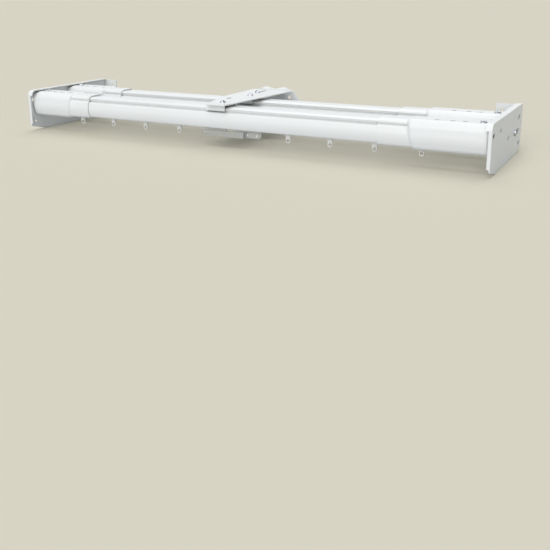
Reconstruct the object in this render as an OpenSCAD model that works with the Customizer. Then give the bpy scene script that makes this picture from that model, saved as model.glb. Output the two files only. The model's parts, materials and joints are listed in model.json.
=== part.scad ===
// Double corded curtain track: two telescoping steel rods between adjustable end brackets,
// with a middle support, end covers, cord pulleys, master carriers and runners.
// X runs along the track, Y points to the wall and Z is up.
// The origin lies on the wall, midway between the two holes of the middle support.

/* [Brackets] */
// Distance over the outer faces of the two side plates, with the track closed up
span_w = 711; // [690:1:900]
// Distance from the wall to the front edge of the side plates, pushed in
projection = 175; // [172:1:200]
// Height of a side plate at its front and rear edges
plate_h = 56; // [52:1:70]
// Depth of the belly below the ends of a side plate
plate_belly = 7; // [3:1:12]
// Length of the sloping edge at each end of the belly
belly_slope = 30; // [20:1:45]
// Thickness of the bracket steel
plate_t = 1.5; // [1:0.1:2]
// Width of the rim folded inwards along the top of a side plate
top_rim_w = 8; // [5:0.5:9]
// Width of the rim folded inwards down the front of a side plate
front_rim_w = 4; // [3:0.5:8]
// Radius of the top front corner of a side plate
plate_corner_r = 8; // [6:1:12]
// Radius of the corners at the ends of the belly
belly_corner_r = 12; // [6:1:14]
// Radius of the other corners of the bracket steel
small_corner_r = 3; // [2:0.5:4]
// Width of the left wall flange
left_flange_w = 27; // [24:1:36]
// Width of the right wall flange
right_flange_w = 32; // [26:1:40]
// Distance of the wall holes from the free edge of an end flange
end_hole_in = 7.5; // [6:0.5:10]
// Distance that the brackets draw out from the wall
projection_travel = 25; // [10:1:26]
// Radius of the screw holes in the wall flanges
wall_hole_r = 2.5; // [2:0.1:3.5]
// Distance between the two wall holes of an end flange
end_hole_spacing = 37; // [28:1:40]
// Gap between the legs on the wall and the rear end covers
leg_gap = 8; // [6:0.5:10]
// Distance of the adjusting screws from the ends of the legs
adjust_inset = 7; // [6:0.5:8]
// Height of the top of the side plates above the holes of the middle support
plate_top = 12; // [10:1:16]

/* [Bracket slots] */
// Width of the slots in the side plates
side_slot_w = 5.4; // [5.2:0.1:6]
// Length of the plain slots in the side plates
side_slot_len = 14; // [9:1:16]
// Distance of the upper row of slots below the top edge
upper_slot_drop = 15; // [12:1:18]
// Distance of the adjusting slot below the top edge
middle_slot_drop = 32; // [28:1:36]
// Distance of the lowest slot below the top edge
lower_slot_drop = 50; // [46:1:52]
// Distance of the first upper slot from the front edge
upper_slot_setback = 12; // [10:1:14]
// Distance between the first and second upper slots
upper_slot_pitch = 36; // [24:1:40]
// Distance of the rear upper slot from the wall
rear_slot_back = 19; // [14:1:24]
// Distance of the plain middle slot from the wall
middle_slot_back = 81; // [78:1:84]
// Distance of the lowest slot from the wall
lower_slot_back = 12; // [10:1:16]
// Radius of the return hole low at the front of a side plate
return_hole_r = 2; // [1.6:0.1:2.4]
// Distance of the return hole from the front edge
return_hole_setback = 10; // [8:0.5:14]
// Distance of the return hole below the top edge
return_hole_drop = 49; // [44:0.5:50]

/* [Rods] */
// Distance between the two rods, middle to middle
rod_spacing = 74; // [66:1:76]
// Distance from the front edge of the side plates back to the middle of the front rod
rod_setback = 25; // [24:1:30]
// Distance from the top of the side plates down to the middle of the rods
rod_drop = 21.2; // [21:0.1:22]
// Depth of a rod from front to rear
rod_d = 30; // [29:0.5:32]
// Height of a rod
rod_h = 30; // [29:0.5:31]
// Thickness of the rod steel
rod_t = 1; // [0.8:0.1:1.2]
// Radius of the rod's rounded corners
rod_corner_r = 3; // [2.8:0.1:4]
// Distance behind the rod's front face where its top begins to slope down
crest_setback = 10; // [9.5:0.1:10.5]
// Radius of the bend where the top begins to slope down
crest_r = 8; // [6:0.5:10]
// Distance of the lip over the groove behind the rod's front face
lip_setback = 4.6; // [4.3:0.1:4.9]
// Distance of the lip below the top of the rod
lip_drop = 2; // [1.8:0.1:2.2]
// Height of the groove under the lip
groove_h = 4.4; // [3.8:0.1:4.8]
// Depth of the groove behind the lip
groove_in = 2.3; // [2:0.1:2.5]
// Fall of the groove's floor towards the front
ledge_fall = 1.2; // [0.8:0.1:1.5]
// Distance of the shoulder below the groove behind the rod's front face
shoulder_setback = 2.2; // [2:0.1:2.6]
// Distance of the rod's foremost place below its middle
belly_drop = 4; // [3:0.5:5]
// Distance of the rod's lower front corner behind its front face
foot_setback = 3.5; // [2.5:0.1:4]
// Radius of the rod's lower front corner
foot_r = 4; // [3:0.5:5]
// Radius of the rod's bulging front
belly_r = 25; // [15:1:30]
// Width of the slot that the runners hang through
slot_w = 5; // [4.8:0.1:6]
// Gap between the free end of a rod and the pulley block before it
rod_end_gap = 4; // [2:0.5:5]

/* [End covers] */
// Length of the left end covers
left_cover_len = 110; // [106:1:120]
// Length of the right end covers, over the double pulleys
right_cover_len = 134; // [120:1:138]
// Gap between the end of a right cover and its side plate
right_cover_gap = 4; // [2:0.5:7]
// Length of the grooved neck of a left end cover
left_neck_len = 39; // [30:1:40]
// Length of the grooved neck of a right end cover
right_neck_len = 44; // [36:1:46]
// Extra size of the smooth end of a cover over its neck
box_step = 1.7; // [1.2:0.1:1.8]
// Wall of an end cover
cover_t = 1.4; // [1.2:0.1:1.6]
// Width of the slot in the floor of an end cover
cover_slot_w = 9; // [8:0.5:10]
// Radius of the top front edge of an end cover
cover_edge_r = 7; // [6:0.5:8]
// Distance of the top front edge of an end cover behind its front face
cover_edge_setback = 1.5; // [1:0.1:2]
// Radius of the three holes in the top of an end cover
cover_hole_r = 3.2; // [2.5:0.1:3.5]
// Distances of the three holes from the end of the track
cover_hole_backs = [67.5, 49, 34.5]; // [33:0.5:70]
// Distance of the three holes in front of the middle of the rod
cover_hole_setback = 3; // [1:0.5:4]
// Distance of the left rod screws from the end of the track
left_screw_back = 16.5; // [14:0.5:18]
// Distance of the right rod screws from the end of the track
right_screw_back = 14; // [13:0.5:18]
// Length of the bracket tab that the rod screw holds
tab_len = 26; // [23:1:30]
// Width of the bracket tab
tab_w = 16; // [12:1:18]

/* [Screws] */
// Radius of the screw shanks
screw_r = 1.9; // [1.6:0.1:2.2]
// Radius of the screw heads
screw_head_r = 4.1; // [3.6:0.1:4.4]
// Height of the screw heads
screw_head_h = 2.8; // [2.2:0.1:3]
// Length of the rod screws below their heads
rod_screw_len = 6; // [5:0.5:6.5]
// Width of the slot and the cross recess in the screw heads
recess_w = 1.4; // [0.9:0.1:1.6]
// Corner radius of the hexagon nuts
nut_r = 4; // [3.6:0.1:4.2]
// Thickness of the hexagon nuts
nut_h = 2.4; // [2:0.1:2.5]

/* [Pulleys and cord] */
// Thickness of the cord
cord_d = 2; // [1.6:0.1:2.2]
// Radius of the cord's path round the large pulleys
wheel_r = 5; // [4.8:0.1:5.2]
// Radius of the cord's path round the small pulleys
small_wheel_r = 3.5; // [3.4:0.1:3.8]
// Distance of the pulley flanges beyond the cord's path
flange_over = 1.2; // [1:0.1:1.3]
// Thickness of the pulleys
wheel_w = 4.4; // [4.2:0.1:4.8]
// Radius of the pulley pins
pin_r = 1.2; // [1:0.1:1.2]
// Length of the pulley pins
pin_len = 18; // [14:1:20]
// Thickness of the pulley flanges at the rim
flange_t = 0.7; // [0.5:0.1:0.9]
// Length of a pulley block
block_len = 52; // [50:1:54]
// Distance of the large pulleys behind the face of their block
wheel_back = 28; // [26:0.5:29]
// Distance of the small pulleys behind the face of their block
small_wheel_back = 10; // [9:0.5:11]
// Length of the block's prongs inside the rod
prong_len = 12; // [8:1:14]
// Thickness of the block's floor
block_floor = 1.7; // [1.4:0.1:1.8]
// Lowest place of the block's prongs below the middle of the rod
prong_drop = 6; // [4:0.5:7]
// Highest place of the front prong above the middle of the rod
front_prong_rise = 2; // [1:0.5:4]
// Distance of the front prong behind the rod's inner front wall
front_prong_in = 2; // [1.5:0.1:2.5]
// Wall between a pulley and the prongs
prong_wall = 1.5; // [1:0.1:2]
// Gap round the cord in its outlets
cord_play = 0.5; // [0.3:0.1:0.7]
// Wall of the cord outlets
outlet_wall = 1.5; // [1.2:0.1:1.8]
// Width of the outlet flange
outlet_flange = 1.2; // [0.8:0.1:1.6]
// Height of the outlet flange below the cover
outlet_h = 1.5; // [1:0.1:2.5]

/* [Carriers] */
// Runners on each side of each rod, besides the master carrier
runners = 4; // [2:1:4]
// Length of a runner's head
runner_len = 12; // [10:1:14]
// Width of the heads inside the rod
head_w = 12; // [10:0.5:13]
// Height of the heads
head_h = 5; // [4:0.2:5.2]
// Width of the necks in the rod's slot
neck_w = 4; // [3:0.1:4.2]
// Distance from the bottom of the rod to the end of a neck
neck_drop = 2.5; // [2.2:0.1:4]
// Width of a hanging tongue
tongue_w = 7; // [6.6:0.2:8]
// Thickness of a hanging tongue
tongue_t = 2.4; // [2:0.1:2.6]
// Distance from the bottom of the rod to the hook eyes
eye_drop = 9.5; // [9:0.5:12]
// Radius of the hook eyes
eye_r = 2.2; // [1.8:0.1:2.4]
// Length of a master carrier
master_len = 46; // [40:1:50]
// Length of the master carrier's cord clamp
clamp_len = 16; // [10:1:20]
// Wall of the cord clamp round the cord
clamp_wall = 1.6; // [1.4:0.1:1.8]
// Distance of the hanging bar from each end of a master carrier
bar_inset = 4; // [3:0.5:6]
// Gap between the two masters of a rod when the curtains are closed
master_gap = 8; // [4:1:14]
// Length of the overlap arm beyond its master carrier
overlap_len = 48; // [30:1:50]
// Height of the overlap arm
overlap_h = 8; // [7:0.5:9]
// Distance of the overlap arm in front of the tongues
overlap_set = 7.8; // [6:0.2:9]
// Thickness of the overlap arm
overlap_t = 1.2; // [1:0.1:1.4]
// Distance of the overlap arm's bend from the middle of its master carrier
knee_back = 5; // [4:0.5:8]
// Radius of the rivets that hold the overlap arm
rivet_r = 1.4; // [1:0.1:1.6]
// Distance between the two rivets
rivet_pitch = 14; // [10:1:14]
// Height of the rivet heads
rivet_head = 0.6; // [0.4:0.1:1]

/* [Middle support] */
// Distance of the middle of the track to the right of the middle support
track_x = 13; // [0:1:20]
// Width of the support arm
arm_w = 66; // [60:1:70]
// Width of the support arm at its front end
arm_tip_w = 29; // [28:1:34]
// Distance of the clips to the left of their screws
clip_shift = 5; // [0:1:6]
// Distance of the arm's front end beyond the middle of the front rod
arm_over = 21; // [18:1:24]
// Distance of the arm's rear end from the wall
arm_gap = 8; // [6:1:12]
// Distance from the wall to where the left edge of the arm begins to taper
arm_taper_back = 88; // [80:1:110]
// Distance of the arm's plain slot behind the front rod's screw
arm_slot_back = 40; // [34:1:46]
// Distance of the arm's plain slot to the left of the screws
arm_slot_side = 14; // [12:0.5:16]
// Distance of the arm's adjusting screw to the left of the other screws
arm_adjust_side = 6.5; // [0:0.5:8]
// Width of the ledge that carries the arm
ledge_w = 36; // [34:1:40]
// Height of the two crests of the wall plate above the ledge
crest_rise = 6; // [5:0.5:7]
// Distance between the two crests
crest_spacing = 31; // [28:1:34]
// Depth of the dip between the two crests
crest_dip = 3.5; // [3:0.1:4]
// Width of the wall plate at its foot
foot_w = 86; // [80:1:90]
// Height of the wall plate
foot_h = 52; // [46:1:60]
// Distance from the top of the wall plate down to its full width
foot_flare = 14; // [12:1:24]
// Radius of the lower corners of the wall plate
foot_corner_r = 5; // [3:0.5:6]
// Distance of the support's ledge below the top of the side plates
support_drop = 3; // [2:0.1:3.2]
// Distance between the two wall holes of the middle support
centre_hole_spacing = 50; // [46:1:56]
// Width of the rod clips
clip_w = 30; // [26:1:32]
// Distance of a clip's front hook in front of the rod's lip
hook_out = 0.7; // [0.5:0.1:1]
// Distance from the rod's lip down to the clip's toe
hook_drop = 3.2; // [3:0.1:3.5]
// Reach of the clip's toe under the rod's lip
toe_reach = 0.8; // [0.5:0.1:0.9]
// Thickness of the clip's toe
toe_t = 1; // [0.8:0.1:1.1]
// Width of the clip's feet on the rod
clip_foot_w = 2; // [1.5:0.1:3]
// Distance of the clip's feet from the edges of the rod's flat top
clip_foot_inset = 3; // [2.5:0.5:5]
// Height of the clip's rear leg
clip_leg = 14; // [10:1:20]

/* [Fits] */
// Gap between pieces that slide on each other
run_gap = 0.3; // [0.25:0.05:0.35]
// Gap between pieces that are fixed to each other
seat_gap = 0.2; // [0.1:0.05:0.25]
// Gap all round between the nested rods, and between the rods and the covers
rod_gap = 0.4; // [0.3:0.05:0.45]
// Radial gap round pins, shanks and rivets
pin_gap = 0.05; // [0.03:0.01:0.08]

/* [Hidden] */
$fn = 48;
corner_steps = 6;
cut = 1;
lap = 1;
rods = ["front", "back"];
white_paint = [0.93, 0.93, 0.91];
white_plastic = [0.95, 0.95, 0.93];
zinc = [0.62, 0.63, 0.65];
cord_white = [0.9, 0.89, 0.85];

inner_face = span_w / 2 - plate_t;
cover_end = inner_face - run_gap;
cover_out = rod_gap + cover_t;
box_in = rod_gap + box_step;
box_out = box_in + cover_t;
block_face = cover_end - block_len;
rod_z = plate_top - rod_drop;
rod_top = rod_h / 2;
rod_floor = -rod_h / 2;

// End of the covers on the left or the right side
function cover_stop(s) = cover_end - (s > 0 ? right_cover_gap : 0);

// Place of the rod screws on the left or the right side
function rod_screw_x(s) = cover_end - (s < 0 ? left_screw_back : right_screw_back);

// Places of the two rods, front to back
function rod_y(k) = -projection + rod_setback + k * rod_spacing;

// Ends of the rods
outer_left = -block_face + seat_gap;
outer_right = block_face - rod_end_gap;
inner_left = -block_face + prong_len + rod_end_gap;
inner_right = block_face - seat_gap;
inner_in = rod_t + rod_gap;
channel_in = inner_in + rod_t;

// Pulleys and cord runs, from the middle of a rod
wheel_x = block_face + wheel_back;
small_wheel_x = block_face + small_wheel_back;
small_wheel_v = -wheel_r - small_wheel_r;
wheel_flange_r = wheel_r + flange_over;
wheel_slot_w = wheel_w + 2 * run_gap;
outlet_xs = [wheel_x + wheel_r, small_wheel_x + small_wheel_r];
outlet_bore_r = cord_d / 2 + cord_play;
outlet_r = outlet_bore_r + outlet_wall;
outlet_v = rod_floor - box_out;
block_low = rod_floor - box_in + seat_gap;
block_end_gap = 1;
large_wheel = [wheel_x, 0, wheel_flange_r];
small_wheel = [small_wheel_x, small_wheel_v, small_wheel_r + flange_over];

// Bracket tabs under the tops of the covers
tab_high = rod_top + box_in - seat_gap;
tab_low = tab_high - plate_t;

// Wall bases and the screws that fix the projection
base_leg = -rod_y(1) - rod_d / 2 - box_out - leg_gap;
base_x = inner_face - run_gap;
base_top = plate_top - plate_t - run_gap;
base_rise = 1;
base_low = plate_top - plate_h + base_rise;
adjust_y = -base_leg + adjust_inset;
middle_z = plate_top - middle_slot_drop;
adjust_slot_len = projection_travel + side_slot_w;
end_hole_z = (base_top + base_low) / 2;
rim_inset = 4;

// Slots of a side plate as [place from the wall, height, length]
side_slots = [
    [-projection + upper_slot_setback, plate_top - upper_slot_drop, side_slot_len],
    [-projection + upper_slot_setback + upper_slot_pitch, plate_top - upper_slot_drop, side_slot_len],
    [-rear_slot_back, plate_top - upper_slot_drop, side_slot_len],
    [-middle_slot_back, middle_z, side_slot_len],
    [adjust_y + projection_travel / 2, middle_z, adjust_slot_len],
    [-lower_slot_back, plate_top - lower_slot_drop, side_slot_len]
];

// Middle support, with its clips between the arm and the rods
ledge_top = plate_top - support_drop;
arm_low = ledge_top + run_gap;
clip_high = arm_low - seat_gap;
clip_low = clip_high - plate_t;
lip_u = -rod_d / 2 + lip_setback;
lip_v = rod_top - lip_drop;
crest_u = -rod_d / 2 + crest_setback;
groove_v = lip_v - groove_h;
hook_u = lip_u - hook_out;
hook_v = lip_v - hook_drop;

// Carriers at rest, with the curtains closed
head_low = rod_floor + channel_in + seat_gap;
neck_low = rod_floor - neck_drop;
eye_v = rod_floor - eye_drop;
master_x = master_gap / 2 + master_len / 2;
stack_gap = 3;
stack_end = block_face - prong_len - stack_gap - runner_len / 2;
last_runner_x = stack_end - runner_len;
rest_pitch = (last_runner_x - master_x) / runners;
cord_hole_r = cord_d / 2 + run_gap;
clamp_w = cord_d + 2 * clamp_wall;
clamp_rise = cord_d / 2 + clamp_wall;
overlap_gap = 0.4;
overlap_back = tongue_t / 2 + seat_gap;
overlap_high = neck_low - overlap_gap;
overlap_low = overlap_high - overlap_h;
overlap_mid = (overlap_high + overlap_low) / 2;

// Corners of the rod's section as [forward to rear, up, radius], from the top rear corner round by the front
rod_corners = [
    [rod_d / 2, rod_top, rod_corner_r],
    [crest_u, rod_top, crest_r],
    [lip_u, lip_v, 0],
    [lip_u + groove_in, groove_v, 0],
    [-rod_d / 2 + shoulder_setback, groove_v - ledge_fall, rod_corner_r],
    [-rod_d / 2, -belly_drop, belly_r],
    [-rod_d / 2 + foot_setback, rod_floor, foot_r],
    [rod_d / 2, rod_floor, rod_corner_r]
];

// Corners of the smooth end of a cover
box_corners = [
    [rod_d / 2, rod_top, rod_corner_r],
    [-rod_d / 2 + cover_edge_setback, rod_top, cover_edge_r],
    [-rod_d / 2, -belly_drop, belly_r],
    [-rod_d / 2 + foot_setback, rod_floor, foot_r],
    [rod_d / 2, rod_floor, rod_corner_r]
];

// Corners of a side plate, from its top rear corner round by the front
side_corners = [
    [-seat_gap, plate_top, small_corner_r],
    [-projection, plate_top, plate_corner_r],
    [-projection, plate_top - plate_h, small_corner_r],
    [-projection + belly_slope, plate_top - plate_h - plate_belly, belly_corner_r],
    [-belly_slope, plate_top - plate_h - plate_belly, belly_corner_r],
    [-seat_gap, plate_top - plate_h, small_corner_r]
];

// Corners of the middle support's wall plate
foot_corners = [
    [arm_w / 2, ledge_top, small_corner_r],
    [crest_spacing / 2, ledge_top + crest_rise, small_corner_r],
    [0, ledge_top + crest_rise - crest_dip, small_corner_r],
    [-crest_spacing / 2, ledge_top + crest_rise, small_corner_r],
    [-arm_w / 2, ledge_top, small_corner_r],
    [-foot_w / 2, ledge_top - foot_flare, foot_corner_r],
    [-foot_w / 2, ledge_top - foot_h, foot_corner_r],
    [foot_w / 2, ledge_top - foot_h, foot_corner_r],
    [foot_w / 2, ledge_top - foot_flare, foot_corner_r]
];

// Corners of the support arm
arm_corners = [
    [arm_w / 2, -arm_gap, small_corner_r],
    [-arm_w / 2, -arm_gap, small_corner_r],
    [-arm_w / 2, -arm_taper_back, small_corner_r],
    [-arm_tip_w / 2, rod_y(0) - arm_over, small_corner_r],
    [arm_tip_w / 2, rod_y(0) - arm_over, small_corner_r]
];

function unit(v) = v / norm(v);
function left_of(v) = [-v[1], v[0]];
function spin(v, a) = [v[0] * cos(a) - v[1] * sin(a), v[0] * sin(a) + v[1] * cos(a)];
function turn_angle(d1, d2) = atan2(d1[0] * d2[1] - d1[1] * d2[0], d1 * d2);
function flat(p) = [p[0], p[1]];

// Points of the corner at b between a and c, rounded to radius r
function corner(a, b, c, r) =
    let (
        d1 = unit(b - a),
        d2 = unit(c - b),
        turn = turn_angle(d1, d2),
        start = b - d1 * r * tan(abs(turn) / 2),
        middle = start + left_of(d1) * r * sign(turn)
    )
    r == 0 ? [b] : [for (i = [0:corner_steps]) middle + spin(start - middle, turn * i / corner_steps)];

// Outline with each of its corners rounded
function rounded(corners) = [
    for (i = [0:len(corners) - 1])
        let (
            n = len(corners),
            a = corners[(i + n - 1) % n],
            b = corners[i],
            c = corners[(i + 1) % n]
        )
        each corner(flat(a), flat(b), flat(c), b[2])
];

// Outline moved inwards by d, or outwards where d is negative
function inset(points, d) = [
    for (i = [0:len(points) - 1])
        let (
            n = len(points),
            n1 = left_of(unit(points[i] - points[(i + n - 1) % n])),
            n2 = left_of(unit(points[(i + 1) % n] - points[i]))
        )
        points[i] + d * (n1 + n2) / (1 + n1 * n2)
];

rod_outline = rounded(rod_corners);
box_outline = rounded(box_corners);
side_outline = rounded(side_corners);
foot_outline = rounded(foot_corners);

function side_name(s) = s < 0 ? "left" : "right";
function runner_name(k, s, i) = str(rods[k], "_", side_name(s), "_runner_", i);
function runner_x(s, i) = s * (master_x + i * rest_pitch);

module along_x(x0, x1) {
    translate([x0, 0, 0]) rotate([90, 0, 90]) linear_extrude(x1 - x0) children();
}

module along_y(y0, y1) {
    translate([0, y1, 0]) rotate([90, 0, 0]) linear_extrude(y1 - y0) children();
}

module at_rod(k) {
    translate([0, rod_y(k), rod_z]) children();
}

module on_side(s) {
    mirror([s < 0 ? 1 : 0, 0, 0]) children();
}

// Box between two opposite corners
module span_box(low, high) {
    translate(low) cube(high - low);
}

// Cylinder along Y between two places
module rod_along_y(x, z, y0, y1, r) {
    translate([x, y1, z]) rotate([90, 0, 0]) cylinder(r = r, h = y1 - y0);
}

module rounded_slot(length, width) {
    square([length - width, width], center = true);
    for (s = [-1, 1]) translate([s * (length - width) / 2, 0]) circle(d = width);
}

module band(outline, outer, inner) {
    difference() {
        polygon(inset(outline, outer));
        polygon(inset(outline, inner));
    }
}

// Screw with its head above z = 0 and its shank below
module screw(length) {
    rim_h = screw_head_h / 2;
    crown_r = screw_head_r - recess_w * 1.5;
    difference() {
        union() {
            cylinder(r = screw_head_r, h = rim_h);
            translate([0, 0, rim_h]) cylinder(r1 = screw_head_r, r2 = crown_r, h = screw_head_h - rim_h);
            translate([0, 0, -length]) cylinder(r = screw_r, h = length);
        }
        for (a = [0, 90])
            rotate([0, 0, a]) {
                reach = a > 0 ? crown_r : screw_head_r + cut;
                translate([0, 0, screw_head_h]) cube([2 * reach, recess_w, 0.9 * screw_head_h], center = true);
            }
    }
}

// Nut that lies below z = 0
module nut() {
    difference() {
        translate([0, 0, -nut_h]) cylinder(r = nut_r, h = nut_h, $fn = 6);
        translate([0, 0, -nut_h - cut]) cylinder(r = screw_r + pin_gap, h = nut_h + 2 * cut);
    }
}

module rod_section(depth_in) {
    difference() {
        band(rod_outline, depth_in, depth_in + rod_t);
        translate([-slot_w / 2, -rod_h]) square([slot_w, rod_h]);
    }
}

module outer_rod(k) {
    color(white_paint) at_rod(k) along_x(outer_left, outer_right) rod_section(0);
}

module inner_rod(k) {
    color(white_paint) at_rod(k) along_x(inner_left, inner_right) rod_section(inner_in);
}

// Sleeve with a grooved neck and a smooth end, as it stands at the right end of a rod
module cover_shell(start, stop, neck_len) {
    neck_end = start + neck_len;
    along_x(start, neck_end) band(rod_outline, -cover_out, -rod_gap);
    along_x(neck_end, neck_end + cover_t)
        difference() {
            polygon(inset(box_outline, -box_out));
            polygon(inset(rod_outline, -rod_gap));
        }
    along_x(neck_end + cover_t, stop) band(box_outline, -box_out, -box_in);
}

module cover(k, s) {
    start = cover_stop(s) - (s < 0 ? left_cover_len : right_cover_len);
    color(white_paint) at_rod(k) on_side(s)
        difference() {
            cover_shell(start, cover_stop(s), s < 0 ? left_neck_len : right_neck_len);
            span_box([start - cut, -cover_slot_w / 2, -rod_h], [block_face, cover_slot_w / 2, 0]);
            for (back = cover_hole_backs)
                translate([inner_face - back, -cover_hole_setback, 0]) cylinder(r = cover_hole_r, h = rod_h);
            translate([rod_screw_x(s), 0, 0]) cylinder(r = screw_r + run_gap, h = rod_h);
            if (s > 0)
                for (x = outlet_xs)
                    translate([x, 0, -rod_h]) cylinder(r = outlet_r + pin_gap, h = rod_h);
        }
}

// Prongs that enter the end of a rod whose inner wall lies depth_in inside its outline
module prongs(depth_in) {
    seat = depth_in + seat_gap;
    side_u = wheel_slot_w / 2 + prong_wall;
    start = block_face - prong_len;
    span_box([start, side_u, -prong_drop], [block_face + lap, rod_d / 2 - seat, rod_top - seat]);
    span_box(
        [start, -rod_d / 2 + seat + front_prong_in, -prong_drop],
        [block_face + lap, -side_u, front_prong_rise]
    );
}

// Moulded block that holds the pulleys listed as [along, up, flange radius]
module pulley_block(k, s, wheels) {
    depth_in = s < 0 ? rod_t : channel_in;
    color(white_plastic) at_rod(k) on_side(s)
        difference() {
            union() {
                along_x(block_face, cover_stop(s) - block_end_gap)
                    intersection() {
                        polygon(inset(box_outline, seat_gap - box_in));
                        translate([-rod_d, block_low]) square([2 * rod_d, tab_low - seat_gap - block_low]);
                    }
                prongs(depth_in);
            }
            span_box(
                [block_face - cut, -wheel_slot_w / 2, block_low + block_floor],
                [wheel_x + wheel_flange_r + prong_wall, wheel_slot_w / 2, rod_h]
            );
            for (w = wheels)
                rod_along_y(w[0], w[1], -pin_len / 2 - seat_gap, rod_d, pin_r + pin_gap);
            translate([rod_screw_x(s), 0, tab_low - rod_screw_len]) cylinder(r = screw_r + run_gap, h = rod_h);
            if (s > 0)
                for (x = outlet_xs)
                    translate([x, 0, -rod_h]) cylinder(r = outlet_bore_r, h = rod_h);
        }
}

module left_block(k) {
    pulley_block(k, -1, [large_wheel]);
}

module right_block(k) {
    pulley_block(k, 1, [large_wheel, small_wheel]);
}

module pulley_pins(s) {
    wheels = s < 0 ? [large_wheel] : [large_wheel, small_wheel];
    color(zinc)
        for (k = [0:1])
            at_rod(k) on_side(s)
                for (w = wheels) rod_along_y(w[0], w[1], -pin_len / 2, pin_len / 2, pin_r);
}

// Grooved wheel with its axle along Y, for a cord path of the radius given
module pulley(path_r) {
    groove_r = path_r - cord_d / 2 - pin_gap;
    groove_w = cord_d / 2 - pin_gap;
    lip_w = wheel_w / 2 - flange_t;
    rotate([90, 0, 0])
        rotate_extrude()
            polygon([
                [pin_r + pin_gap, -wheel_w / 2],
                [path_r + flange_over, -wheel_w / 2],
                [path_r + flange_over, -lip_w],
                [groove_r, -groove_w],
                [groove_r, groove_w],
                [path_r + flange_over, lip_w],
                [path_r + flange_over, wheel_w / 2],
                [pin_r + pin_gap, wheel_w / 2]
            ]);
}

module return_pulley(k) {
    color(white_plastic) at_rod(k) translate([-wheel_x, 0, 0]) pulley(wheel_r);
}

module upper_pulley(k) {
    color(white_plastic) at_rod(k) translate([wheel_x, 0, 0]) pulley(wheel_r);
}

module lower_pulley(k) {
    color(white_plastic) at_rod(k) translate([small_wheel_x, 0, small_wheel_v]) pulley(small_wheel_r);
}

// Arc of cord in the plane of the pulleys
module cord_arc(x, v, r, start, angle) {
    translate([x, 0, v])
        rotate([90, 0, 0])
            rotate([0, 0, start])
                rotate_extrude(angle = angle) translate([r, 0]) circle(d = cord_d);
}

// Cord from one outlet, round the return pulley and back to the other outlet
module draw_cord(k) {
    end_v = outlet_v - outlet_h;
    color(cord_white) at_rod(k) {
        translate([-wheel_x, 0, wheel_r]) rotate([0, 90, 0]) cylinder(d = cord_d, h = 2 * wheel_x);
        translate([-wheel_x, 0, -wheel_r]) rotate([0, 90, 0]) cylinder(d = cord_d, h = wheel_x + small_wheel_x);
        cord_arc(-wheel_x, 0, wheel_r, 90, 180);
        cord_arc(wheel_x, 0, wheel_r, 0, 90);
        cord_arc(small_wheel_x, small_wheel_v, small_wheel_r, 0, 90);
        translate([outlet_xs[0], 0, end_v]) cylinder(d = cord_d, h = -end_v);
        translate([outlet_xs[1], 0, end_v]) cylinder(d = cord_d, h = small_wheel_v - end_v);
    }
}

module cord_outlets() {
    color(white_plastic)
        for (k = [0:1])
            at_rod(k)
                for (x = outlet_xs)
                    translate([x, 0, outlet_v])
                        difference() {
                            union() {
                                cylinder(r = outlet_r, h = cover_t);
                                translate([0, 0, -outlet_h])
                                    cylinder(r = outlet_r + outlet_flange, h = outlet_h);
                            }
                            translate([0, 0, -outlet_h - cut])
                                cylinder(r = outlet_bore_r, h = cover_t + outlet_h + 2 * cut);
                        }
}

module side_rim(width, y0, y1, z0, z1) {
    along_x(span_w / 2 - width, inner_face)
        intersection() {
            band(side_outline, 0, plate_t);
            translate([y0, z0]) square([y1 - y0, z1 - z0]);
        }
}

module side_plate(s) {
    corner_z = plate_top - plate_corner_r;
    rim_low = plate_top - plate_h + rim_inset;
    tab_x = inner_face - tab_len;
    color(white_paint) on_side(s)
        difference() {
            union() {
                along_x(inner_face, span_w / 2) polygon(side_outline);
                side_rim(top_rim_w, -projection, -rim_inset, corner_z, plate_top);
                side_rim(front_rim_w, -projection, -projection + plate_corner_r, rim_low, corner_z);
                for (k = [0:1])
                    at_rod(k) span_box([tab_x, -tab_w / 2, tab_low], [inner_face, tab_w / 2, tab_high]);
            }
            along_x(inner_face - cut, span_w / 2 + cut) {
                for (place = side_slots)
                    translate([place[0], place[1]]) rounded_slot(place[2], side_slot_w);
                translate([-projection + return_hole_setback, plate_top - return_hole_drop])
                    circle(r = return_hole_r);
            }
            for (k = [0:1])
                at_rod(k) translate([rod_screw_x(s), 0, 0]) cylinder(r = screw_r + pin_gap, h = rod_h);
        }
}

module rod_screws(s) {
    color(zinc)
        for (k = [0:1])
            at_rod(k) on_side(s) translate([rod_screw_x(s), 0, rod_top + box_out]) screw(rod_screw_len);
}

// Angle that stands on the wall, with a leg beside the side plate
module wall_base(s) {
    edge_x = base_x - (s < 0 ? left_flange_w : right_flange_w);
    color(white_paint) on_side(s)
        difference() {
            union() {
                span_box([base_x - plate_t, -base_leg, base_low], [base_x, 0, base_top]);
                span_box([edge_x, -plate_t, base_low], [base_x, 0, base_top]);
            }
            for (z = [end_hole_z - end_hole_spacing / 2, end_hole_z + end_hole_spacing / 2])
                rod_along_y(edge_x + end_hole_in, z, -plate_t - cut, cut, wall_hole_r);
            translate([0, adjust_y, middle_z]) rotate([0, 90, 0]) cylinder(r = screw_r + pin_gap, h = span_w);
        }
}

module adjust_screw(s) {
    head_x = span_w / 2 + seat_gap;
    nut_x = base_x - plate_t;
    color(zinc) on_side(s) translate([0, adjust_y, middle_z]) {
        translate([head_x, 0, 0]) rotate([0, 90, 0]) screw(head_x - nut_x + nut_h);
        translate([nut_x, 0, 0]) rotate([0, 90, 0]) nut();
    }
}

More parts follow.
